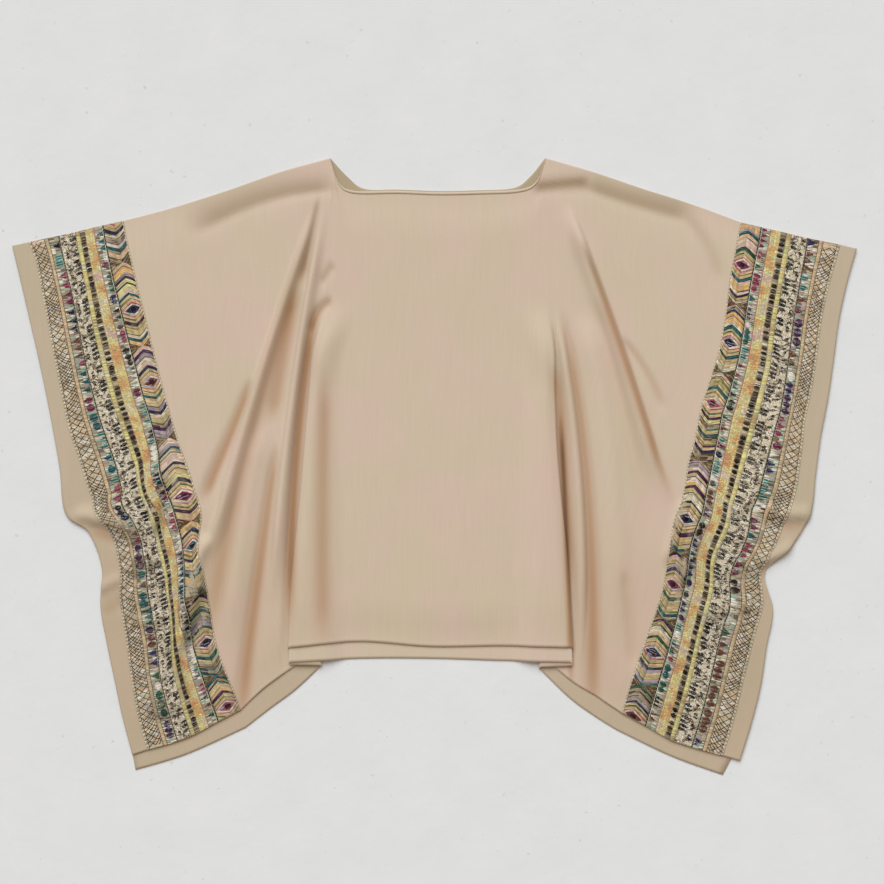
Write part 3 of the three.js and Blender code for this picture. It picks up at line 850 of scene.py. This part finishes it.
def satin(column, length, palette, rng, across=1, slant=0.0, patch=7, height=0.35, mottle=0.12):
    """Fills a column with satin stitches whose threads drift through a palette, in patches."""
    edges = np.linspace(*column, across + 1)
    along = np.arange(SATIN_PITCH / 2, length, SATIN_PITCH)
    shift = rng.uniform(-SATIN_STAGGER, SATIN_STAGGER, (across + 1, len(along)))
    shift[[0, -1]] = 0
    rows = []
    for k in range(across):
        start, end = edges[k] + shift[k], edges[k + 1] + shift[k + 1]
        value = drift((start + end) / 2, along, patch, column[0] + 0.5)
        threads = pick(palette, value + rng.normal(0, mottle, len(along)))
        rows.append(sew((start, along), (end, along + slant), STITCH, height, threads))
    return np.concatenate(rows)


def line(across, length, width, thread, height=0.6):
    """One line of back stitches down the border."""
    along = np.arange(0, length, BACK_STITCH)
    ends = np.minimum(along + BACK_STITCH * BACK_STITCH_SHARE, length)
    return sew((across, along), (across, ends), width, height, dyed(thread))


def tooth(place):
    """A triangle that points outwards, for -1 to 1 down it."""
    return 1 - 2 * (1 - np.abs(place)), np.ones_like(place)


def petal(place):
    """An oval, for -1 to 1 down it."""
    half = np.sqrt(1 - place**2)
    return -half, half


def motif(centre, size, outline, threads, lean=0.0):
    """A raised motif of satin stitches in one of the two outlines, leaning across as it goes."""
    rows = max(2, round(size[1] / MOTIF_PITCH))
    place = (np.arange(rows) + 0.5) / rows * 2 - 1
    near, far = outline(place)
    across = centre[0] + lean * place * size[1] / 2
    along = centre[1] + place * size[1] / 2
    start, end = across + near * size[0] / 2, across + far * size[0] / 2
    threads = np.resize(dyed(threads), rows)
    return sew((start, along), (end, along), MOTIF_STITCH, MOTIF_HIGH, threads)


def stacks(column, length, threads, rng, size, count, gap, lean=(0, 0)):
    """Stacks of raised petals round a line down the border, with uneven gaps between them."""
    petals = []
    along = rng.uniform(3, 12)
    while along < length - 12:
        for _ in range(rng.integers(*count)):
            tall = size[1] * rng.uniform(0.85, 1.15)
            if along + tall < length - 2:
                centre = (column + rng.uniform(-0.6, 0.6), along + tall / 2)
                thread = threads[rng.integers(len(threads))]
                oval = (size[0], tall * 0.86)
                petals.append(motif(centre, oval, petal, thread, rng.uniform(*lean)))
            along += tall + 0.6
        along += rng.uniform(*gap)
    return np.concatenate(petals)


# The lattice: slanting lines of dark back stitch that cross on a pale ground and bow a little.
# Every second line runs all the way, and the ones between only where the lattice is close.
LATTICE_GROUND = ("taupe", "sand", "cream", "peach", "cream", "white")
LATTICE_PITCH = 4.7
LATTICE_FALL = 15
LATTICE_BOW = 1.6
LATTICE_STITCHES = 4


def lattice(length, rng):
    near, far = LATTICE
    rows = [satin(LATTICE, length, LATTICE_GROUND, rng, across=2, height=0.2, mottle=0.25)]
    along = np.arange(-20, length, LATTICE_PITCH)
    along = along + rng.uniform(-0.8, 0.8, len(along))
    for n, (first, last) in enumerate(((near, far), (far, near))):
        close = drift(0 * along, along + 400 * n, 30, 2.5) > 0.62
        sewn = (np.arange(len(along)) % 2 == 0) | close
        for k in range(LATTICE_STITCHES):
            shares = k / LATTICE_STITCHES, (k + 0.97) / LATTICE_STITCHES
            a0, a1 = (along + LATTICE_FALL * share for share in shares)
            keep = sewn & (a0 > 2) & (a1 < length - 2)
            start, end = (
                (first + (last - first) * share, a[keep] + LATTICE_BOW * np.sin(np.pi * share))
                for share, a in zip(shares, (a0, a1))
            )
            rows.append(sew(start, end, 1.35, 0.6, dyed("sepia")))
    return np.concatenate(rows)


# The teeth: triangles and petals in groups of one to three, each group in two threads of one
# family, on a ground of bright patches.
TEETH_GROUND = (
    "brown", "mint", "cream", "taupe", "white", "grey", "mint", "lilac", "taupe", "brown",
)
FAMILIES = [
    ("magenta", "rose"), ("teal", "pine"), ("black", "navy"), ("green", "pine"),
    ("rust", "brown"), ("purple", "plum"), ("teal", "mint"), ("white", "cream"),
    ("sepia", "black"), ("magenta", "plum"), ("navy", "purple"),
]


def teeth(column, length, size, rng):
    rows = [satin(column, length, TEETH_GROUND, rng, across=2, slant=0.4, patch=6.5, height=0.3)]
    along = rng.uniform(-4, 2)
    while along < length - 3:
        first, second = FAMILIES[rng.integers(len(FAMILIES))]
        pitch = size[1] * rng.uniform(0.7, 1.25)
        outline = (tooth, tooth, petal)[rng.integers(3)]
        for _ in range(rng.integers(1, 4)):
            reach = size[0] * rng.uniform(0.75, 1.0)
            place = along + pitch / 2
            if 3 < place < length - 4:
                centre = (column[1] - reach / 2 + rng.uniform(-0.6, 0.2), place)
                threads = [first, first, second][::rng.choice((-1, 1))]
                rows.append(motif(centre, (reach, pitch * 0.94), outline, threads))
            along += pitch
        along += rng.uniform(0, 8)
    return np.concatenate(rows)


# The marbled column: short stitches along slow swirls, pale with dark veins between, and now and
# then a ring of dark stitches.
STONE = ("sepia", "brown", "taupe", "grey", "cream", "cream", "white", "grey", "white", "cream")
SWIRL_REACH = 1.8
SWIRL_PITCH = 1.25
RING_ACROSS = 5.6
RING_FROM_END = 14


def marble(length, rng):
    near, far = MARBLED
    rows = np.arange(SWIRL_PITCH / 2, length - 2, SWIRL_PITCH)
    across, along = np.meshgrid(np.arange(near + 1.2, far, 2.6), rows)
    across = (across + (np.arange(len(rows)) % 2)[:, None] * 1.3).ravel()
    along = along.ravel()
    turn = (drift(across, along, 9, 4.5) - 0.5) * 7
    start, end = (
        (
            np.clip(across + reach * np.cos(turn), near, far),
            np.clip(along + reach * np.sin(turn), 0, length),
        )
        for reach in (-SWIRL_REACH, SWIRL_REACH)
    )
    vein = np.abs(drift(across, along, 6.5, 7.5) - 0.5) * 3.2 + rng.normal(0, 0.12, len(along))
    stitches = [sew(start, end, 1.4, 0.35, pick(STONE, vein))]
    turns = np.arange(0, 2 * np.pi, 0.55)
    place = RING_FROM_END
    while place < length - RING_FROM_END:
        half_wide, half_tall = rng.uniform(3, 4.2), rng.uniform(4, 8)
        s = near + RING_ACROSS + half_wide * np.cos(turns)
        a = place + half_tall * np.sin(turns)
        end = s - 0.9 * np.sin(turns), a + 1.2 * np.cos(turns)
        stitches.append(sew((s, a), end, STITCH, 0.65, dyed("sepia")))
        place += rng.uniform(22, 60)
    return np.concatenate(stitches)


# The lozenges: where their middles are, in mm from the shoulder, and their threads. EYE is half
# of a lozenge's length down the border, and its sides fall away as the chevrons do.
EYE = 6.3
HEART_SHARE = 0.45
LOZENGE_PITCH = 1.05
CHEVRON_SLOPE = 0.6
PEAK_ROUND = 3
LOZENGES = {
    "right": [
        (-6, "navy"), (127, "navy"), (234, "rust"), (403, "magenta"), (475, "teal"),
        (618, "purple"), (712, "rose"),
    ],
    "left": [
        (61, "magenta"), (173, "navy"), (263, "rose"), (432, "navy"), (527, "magenta"),
        (629, "navy"), (724, "rust"),
    ],
}


def lozenge(middle, eye, thread, length, rng):
    """A filled lozenge with a darker heart, in rows of satin stitch across it."""
    rows = []
    heart_thread = "plum" if thread in ("magenta", "rose", "rust") else "black"
    for a in np.arange(0.5 - EYE, EYE, LOZENGE_PITCH):
        if 1 < eye + a < length - 1:
            half = np.sqrt(((EYE - abs(a)) / CHEVRON_SLOPE + PEAK_ROUND) ** 2 - PEAK_ROUND**2)
            if abs(a) < EYE / 2:
                heart = half * HEART_SHARE
                stops = [-half, -heart, heart, half]
                names = [thread, heart_thread, thread]
            else:
                stops = [-half, rng.uniform(-2, 2), half]
                names = [thread, thread]
            for name, u0, u1 in zip(names, stops, stops[1:]):
                name = "lilac" if rng.random() < 0.1 else name
                ends = (middle + u0, eye + a), (middle + u1, eye + a)
                rows.append(sew(*ends, STITCH, MOTIF_HIGH, dyed(name)))
    return rows


# The chevrons: nested bands above and below each lozenge, out to brown corners half way to the
# next. Each band is how far its outer edge is from the lozenge's middle, and its two threads. The
# first bands are the same at each lozenge, and the next ones follow about these widths.
SOFT = [
    ("khaki", "sand"), ("cream", "taupe"), ("straw", "khaki"), ("peach", "sand"),
    ("pink", "cream"), ("cream", "lilac"), ("khaki", "olive"), ("lilac", "grey"),
    ("sand", "taupe"), ("amber", "peach"), ("taupe", "brown"),
]
STRONG = [("teal", "pine"), ("navy", "sepia"), ("green", "pine"), ("purple", "plum")]
FIRST_BANDS = [
    (EYE, ("lilac", "sepia")), (9.5, ("cream", "lilac")), (11, ("rose", "taupe")),
    (15, ("peach", "khaki")), (17, ("olive", "green")), (21, ("khaki", "sand")),
]
NEXT_BANDS = [(4.6, STRONG), (4.5, SOFT), (7.5, SOFT), (1.2, STRONG), (5, SOFT)]
CORNER = ("brown", "olive", "rust", "brown", "taupe")
END_REACH = 65
CHEVRON_PITCH = 1.3
CHEVRON_LAP = 0.3


def bands_to(reach, rng):
    """The bands on one side of a lozenge, out past its corner."""
    bands = list(FIRST_BANDS)
    while bands[-1][0] < reach:
        for width, choice in NEXT_BANDS:
            edge = bands[-1][0] + width * rng.uniform(0.85, 1.2)
            bands.append((edge, choice[rng.integers(len(choice))]))
    return bands


def chevron_arm(eye, way, arm, reach, bands, length, rng):
    """One arm of the chevrons, way up or down the border and arm outwards or inwards."""
    middle, half = sum(CHEVRONS) / 2, (CHEVRONS[1] - CHEVRONS[0]) / 2
    distance = np.arange(EYE + 0.4, reach + CHEVRON_SLOPE * half, CHEVRON_PITCH)
    # An arm starts at the middle, or further out where it is in a corner.
    start = np.maximum(0, (distance - reach) / CHEVRON_SLOPE)
    end = np.minimum(half, distance / CHEVRON_SLOPE + 1)
    long = end - start > 0.6
    wobble = rng.uniform(-0.5, 0.5, len(distance))
    band = np.searchsorted([edge for edge, _ in bands], distance + wobble)
    band = np.minimum(band, len(bands) - 1)
    split = start + (end - start) * rng.uniform(0.35, 0.65, len(distance))
    rows = []
    for u0, u1 in ((start, split), (split, end)):
        other = (rng.random(len(distance)) < 0.3).astype(int)
        threads = dyed([bands[b][1][k] for b, k in zip(band, other)])
        hatch = dyed(CORNER)[rng.integers(0, len(CORNER), len(distance))]
        threads = np.where(distance > reach, hatch, threads)
        ends = []
        for u in (u0 - CHEVRON_LAP, u1 + CHEVRON_LAP):
            fall = CHEVRON_SLOPE * (np.hypot(u, PEAK_ROUND) - PEAK_ROUND)
            ends.append(np.stack([middle + arm * u, eye + way * (distance - fall)]))
        keep = long & np.all([(0 < a) & (a < length) for _, a in ends], axis=0)
        rows.append(sew(*(part[:, keep] for part in ends), STITCH, 0.4, threads[keep]))
    return rows


def chevrons(side, length, rng):
    rows = []
    places = [place for place, _ in LOZENGES[side]]
    above = [places[0] - 2 * END_REACH, *places]
    below = [*places[1:], places[-1] + 2 * END_REACH]
    for (eye, thread), last, following in zip(LOZENGES[side], above, below):
        rows += lozenge(sum(CHEVRONS) / 2, eye, thread, length, rng)
        for way, reach in ((-1, (eye - last) / 2), (1, (following - eye) / 2)):
            bands = bands_to(reach, rng)
            for arm in (-1, 1):
                rows += chevron_arm(eye, way, arm, reach, bands, length, rng)
    return np.concatenate(rows)


STRAWS = ("khaki", "straw", "straw", "yellow", "straw", "cream")
BETWEEN_OVALS = ("brown", "taupe", "khaki", "grey", "brown", "cream", "taupe")
YELLOWS = ("pink", "cream", "straw", "yellow", "straw", "amber", "amber", "orange")


def embroider(side, length, seed):
    """All the stitches of one border, from the cuff inwards and its edges first."""
    rng = np.random.default_rng(seed)
    return np.concatenate([
        *(line(edge, length, 1.5, "cream", 0.7) for edge in EDGE_LINES),
        line(TAUPE_LINE, length, 0.5, "taupe"),
        lattice(length, rng),
        *(line(edge, length, 0.8, "brown") for edge in BROWN_LINES),
        satin(SAND_BAND, length, ("taupe", "sand", "peach", "sand"), rng, slant=0.6, patch=20),
        teeth(OUTER_TEETH, length, (11.5, 11), rng),
        teeth(INNER_TEETH, length, (10.5, 8), rng),
        line(PINE_LINES[0], length, 1.6, "pine", 0.5),
        marble(length, rng),
        stacks(
            MARBLED[0] + 5, length, ["sepia", "black"], rng, size=(4.5, 3.8), count=(1, 3),
            gap=(3, 10), lean=(-1, 1),
        ),
        stacks(
            MARBLED[1] - 4.4, length, ["black"], rng, size=(8.4, 5.2), count=(2, 5),
            gap=(3, 12), lean=(-0.9, -0.4),
        ),
        satin(STRAW_BAND, length, STRAWS, rng, slant=0.8, patch=25, height=0.6, mottle=0.14),
        *(line(edge, length, 0.6, "olive") for edge in OLIVE_LINES),
        satin(OVALS, length, BETWEEN_OVALS, rng, mottle=0.2),
        stacks(
            sum(OVALS) / 2, length, ["sepia", "black"], rng, size=(7.2, 6.9), count=(2, 5),
            gap=(1.6, 7),
        ),
        satin(YELLOW, length, YELLOWS, rng, across=4, slant=0.5, patch=16, mottle=0.08),
        line(ROSE_LINE, length, 0.9, "rose", 0.45),
        line(PINE_LINES[1], length, 2.1, "pine", 0.5),
        line(CREAM_LINE, length, 0.8, "cream", 0.5),
        chevrons(side, length, rng),
    ])


# A stitch is a low hipped ridge: four corners round its foot, and 4 and 5 are the ends of its top.
# The thread goes down into the cloth at both ends, and its foot is a little under the surface.
RIDGE = [(0, 3, 5, 4), (2, 1, 4, 5), (1, 0, 4), (3, 2, 5), (0, 1, 2, 3)]
RIDGE_END = 0.7
RIDGE_END_SHARE = 0.3
FOOT_SINKS = 0.12
# How much the dye differs between lengths of thread, and how much painted fold shade darkens them.
DYE_SPREAD = 0.16
PAINTED_FOLD_SHADE_ON_THREAD = 0.55


def stitch_mesh(name, border, stitches, rng):
    """Every stitch as a ridge on the border, its foot just in the cloth."""
    grid, out, painted_darkening, along = border
    across = np.linspace(0, BORDER_WIDTH, grid.shape[1])

    def on_border(s, a):
        row = np.interp(a, along, np.arange(len(along)))
        column = np.interp(s, across, np.arange(len(across)))
        i = np.minimum(row.astype(int), len(along) - 2)
        j = np.minimum(column.astype(int), len(across) - 2)
        u, v = (row - i)[:, None], (column - j)[:, None]
        for table in (grid, out, painted_darkening[..., None]):
            upper = table[i, j] * (1 - v) + table[i, j + 1] * v
            lower = table[i + 1, j] * (1 - v) + table[i + 1, j + 1] * v
            yield upper * (1 - u) + lower * u

    s0, a0, s1, a1, width, height, thread = stitches.T
    long = np.maximum(np.hypot(s1 - s0, a1 - a0), 0.01)
    side_s, side_a = -(a1 - a0) / long * width / 2, (s1 - s0) / long * width / 2
    inset = np.minimum(RIDGE_END, long * RIDGE_END_SHARE) / long
    corners = []
    for share, offset in ((0, -1), (0, 1), (1, 1), (1, -1), (inset, 0), (1 - inset, 0)):
        s = s0 + (s1 - s0) * share + side_s * offset
        a = a0 + (a1 - a0) * share + side_a * offset
        place, way, deep = on_border(s, a)
        lift = np.where(offset == 0, height, -FOOT_SINKS)[:, None] + SEAM + STRIP_THICK
        corners.append(place + way * lift)
    # The two borders mirror each other, so on one of them the faces are turned to point outwards.
    turned_up = np.cross(corners[3][0] - corners[0][0], corners[1][0] - corners[0][0])[2] > 0
    faces = np.concatenate([face if turned_up else face[::-1] for face in RIDGE])
    piece = new_piece(
        name,
        np.stack(corners, 1).reshape(-1, 3),
        (np.arange(len(stitches))[:, None] * 6 + faces).ravel(),
        np.tile([len(face) for face in RIDGE], len(stitches)),
    )
    # Each length of thread takes the dye a little differently, and painted fold shade makes it
    # darker deep in a fold.
    palette = np.array([linear(colour) for colour in THREADS.values()])
    colours = palette[thread.astype(int)]
    tone = np.exp(rng.normal(0, DYE_SPREAD, len(stitches)))[:, None]
    tone = tone * (1 - PAINTED_FOLD_SHADE_ON_THREAD * np.minimum(deep, 1))
    colours[:, :3] = np.clip(colours[:, :3] * tone, 0, 0.9)
    dye_and_painted_shade = piece.data.color_attributes.new("dye_and_painted_shade", "FLOAT_COLOR", "POINT")
    dye_and_painted_shade.data.foreach_set("color", np.repeat(colours, 6, axis=0).ravel())
    piece.data.shade_smooth()
    return piece


# Rayon thread: bright, smooth and a little glossy, twisted from many filaments. The twist is
# 0.3 mm, too fine to show, so it is drawn at 0.9 mm, and each patch of thread differs in tone.
rayon, tree = new_material("rayon_thread")
place = add(tree, "TexCoord").outputs["Object"]
# Painted shade: the colour attribute holds the thread's dye with the fold shade painted into it.
dye_and_painted_shade = add(tree, "Attribute", {"attribute_name": "dye_and_painted_shade"}).outputs["Color"]
tone = add(tree, "TexNoise", Vector=place, Scale=450.0, Detail=2.0).outputs["Fac"]
tone = add(tree, "MapRange", Value=tone, To_Min=0.82, To_Max=1.18)
coloured = add(tree, "MixRGB", {"blend_type": "MULTIPLY"}, Fac=1.0, Color1=dye_and_painted_shade, Color2=tone)
twist = add(tree, "TexNoise", Vector=place, Scale=1100.0, Detail=1.0).outputs["Fac"]
bump = add(tree, "Bump", Strength=0.35, Distance=0.0004, Height=twist)
surface = add(
    tree, "BsdfPrincipled", Base_Color=coloured, Roughness=0.55, Specular_IOR_Level=0.25,
    Normal=bump,
)
add(tree, "OutputMaterial", Surface=surface)

PATTERN_SEED = 11
DYE_SEED = 21
for n, (side, part) in enumerate(border_columns.items()):
    grid, out, painted_darkening = front_grid[:, part], front_out[:, part], shade[:, part]
    if side == "left":
        grid, out, painted_darkening = grid[:, ::-1], out[:, ::-1], painted_darkening[:, ::-1]
    steps = np.linalg.norm(np.diff(grid, axis=0), axis=-1).mean(1)
    along = np.concatenate([[0], np.cumsum(steps)])
    stitches = embroider(side, along[-1], PATTERN_SEED + n)
    threads = stitch_mesh(
        "embroidery_" + side, (grid, out, painted_darkening, along), stitches,
        np.random.default_rng(DYE_SEED + n),
    )
    threads.data.materials.append(rayon)
    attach(threads, "root")
    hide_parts("border_" + side)

# ---------------------------------------------------------------------------------------------
# The neck binding: a narrow strip of the same crepe, turned over the neck edge and sewn through
# with two rows of stitches, too fine to show. It keeps the edge from stretching.
BINDING_THICK = 0.5
BINDING_ROWS = 3
neck = slice(side_cells + tuck_cells, wide - side_cells - tuck_cells)
grid, out = front_grid[:BINDING_ROWS, neck], front_out[:BINDING_ROWS, neck]
binding = wall(
    "neck_binding_strip", grid + out * SEAM, grid + out * (SEAM + BINDING_THICK), flat_map(grid)
)
binding.data.materials.append(crepe)
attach(binding, "root")
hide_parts("neck_binding")

# ---------------------------------------------------------------------------------------------
# The floor: smooth plaster that is painted a matt, very pale grey. The paint keeps the marks of
# the trowel, about 17 mm apart, and here and there a patch of grit some 9 mm wide.
FLOOR_HALF = 8000
corners = [(x * FLOOR_HALF, y * FLOOR_HALF, 0) for x, y in ((-1, -1), (1, -1), (1, 1), (-1, 1))]
floor = new_piece("floor", corners, np.arange(4), np.array([4]))
floor.data.shade_flat()
floor.location = (0, 0, -0.0005)

paint, tree = new_material("painted_plaster")
place = add(tree, "TexCoord").outputs["Object"]
clouds = add(tree, "TexNoise", Vector=place, Scale=14.0, Detail=6.0, Roughness=0.6)
tone = add(tree, "ValToRGB", Fac=clouds.outputs["Fac"])
for stop, position, tint in zip(tone.color_ramp.elements, (0.3, 0.7), ("#DBDCDC", "#E0E0E0")):
    stop.position, stop.color = position, linear(tint)
grit = add(tree, "TexNoise", Vector=place, Scale=110.0, Detail=2.0).outputs["Fac"]
grit = add(tree, "MapRange", Value=grit, From_Min=0.70, From_Max=0.78, To_Max=0.5)
tone = add(tree, "MixRGB", Fac=grit, Color1=tone, Color2=linear("#B9B6B0"))
trowel = add(tree, "TexNoise", Vector=place, Scale=60.0, Detail=5.0).outputs["Fac"]
bump = add(tree, "Bump", Strength=0.35, Distance=0.001, Height=trowel)
surface = add(tree, "BsdfPrincipled", Base_Color=tone, Roughness=0.9, Normal=bump)
add(tree, "OutputMaterial", Surface=surface)
floor.data.materials.append(paint)

# ---------------------------------------------------------------------------------------------
# The light: a broad window beyond the neck, a little towards the right cuff, whose daylight is
# cooler than the room's own even light. Both colours are linear.
window_light = bpy.data.lights.new("window", "SUN")
window_light.energy = 3.07
window_light.color = (0.85, 0.925, 1.0)
window_light.angle = 0.9
window = bpy.data.objects.new("window", window_light)
window.rotation_euler = Vector((0.16, -0.68, -0.72)).to_track_quat("-Z", "Y").to_euler()
bpy.context.scene.collection.objects.link(window)
room = bpy.data.worlds.new("room")
room.use_nodes = True
room.node_tree.nodes["Background"].inputs["Color"].default_value = (1, 0.85, 0.7, 1)
room.node_tree.nodes["Background"].inputs["Strength"].default_value = 0.4
bpy.context.scene.world = room
bpy.context.scene.view_settings.view_transform = "Standard"
